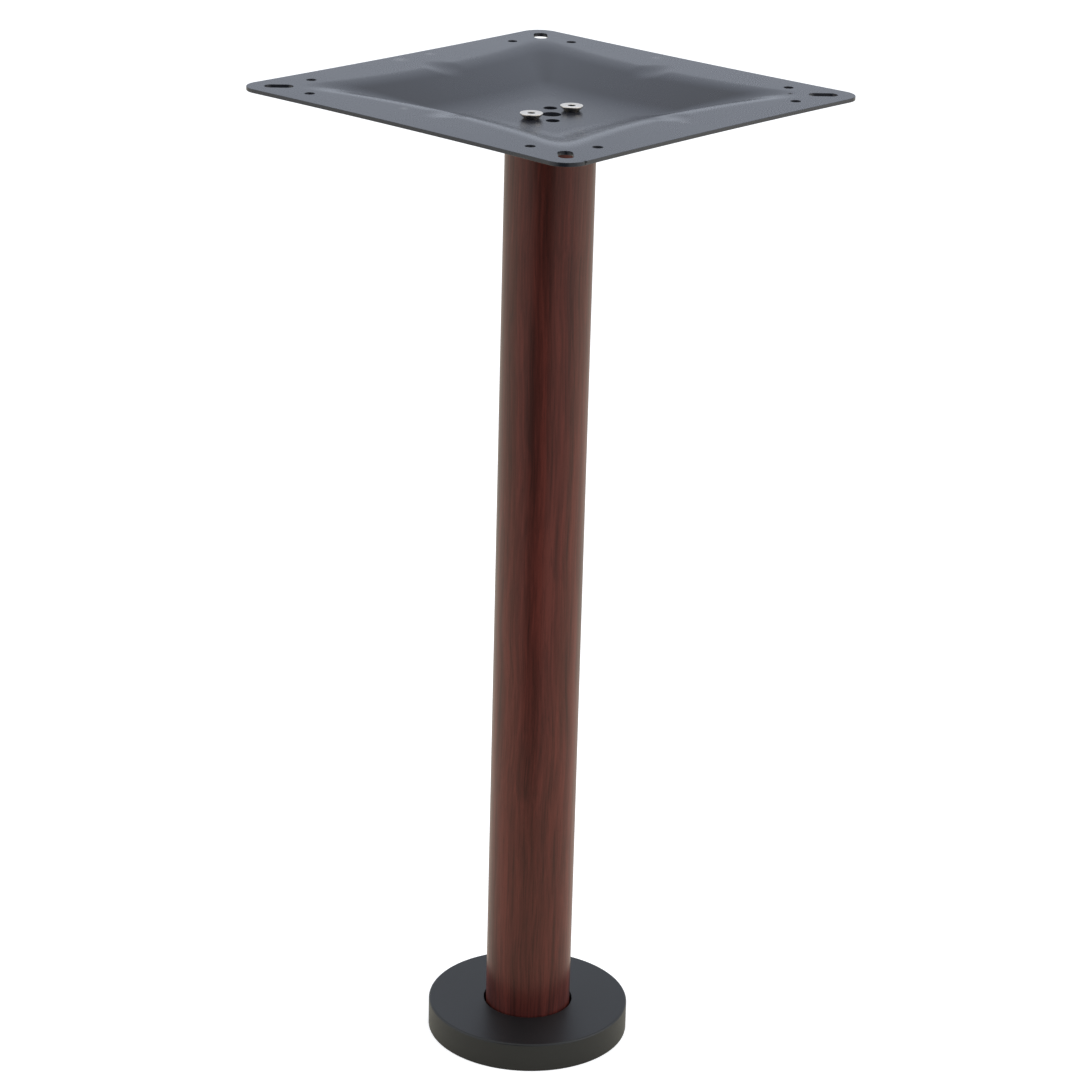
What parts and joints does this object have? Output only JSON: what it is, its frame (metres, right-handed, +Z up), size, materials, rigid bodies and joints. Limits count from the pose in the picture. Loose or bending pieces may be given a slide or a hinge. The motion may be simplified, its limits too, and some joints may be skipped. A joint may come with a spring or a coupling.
{
  "type": "dining table base",
  "caption": "Floor-fixed dining table base: dished square steel top plate with slots and screw holes, round wood-effect tube column, and a loose round floor cover over a bolt-down flange.",
  "frame": {"origin": "on the floor, at the column's axis", "axes": "+Z up along the column; the top plate's sides lie along X and Y, and its two plate screws lie nearly along X"},
  "size_m": [0.3048, 0.3048, 0.72],
  "materials": {
    "black_powder_coat": "satin black powder coat on pressed steel",
    "bright_plating": "bright plated steel",
    "wood_effect_coating": "satin dark mahogany wood-effect coating on steel tube",
    "plain_steel": "plain turned steel",
    "black_primer": "matt black primer on steel"
  },
  "bodies": {
    "base": {"top_plate": "black_powder_coat", "plate_screws": "bright_plating", "column_tube": "wood_effect_coating", "column_top_disc": "plain_steel", "floor_flange": "black_primer", "flange_weld": "black_primer"},
    "cover": {"floor_cover": "black_powder_coat"}
  },
  "joints": [
    {"name": "cover_lift", "type": "slide", "parent": "base", "child": "cover", "axis": [0, 0, 1], "range_m": [0, 0.678]}
  ]
}
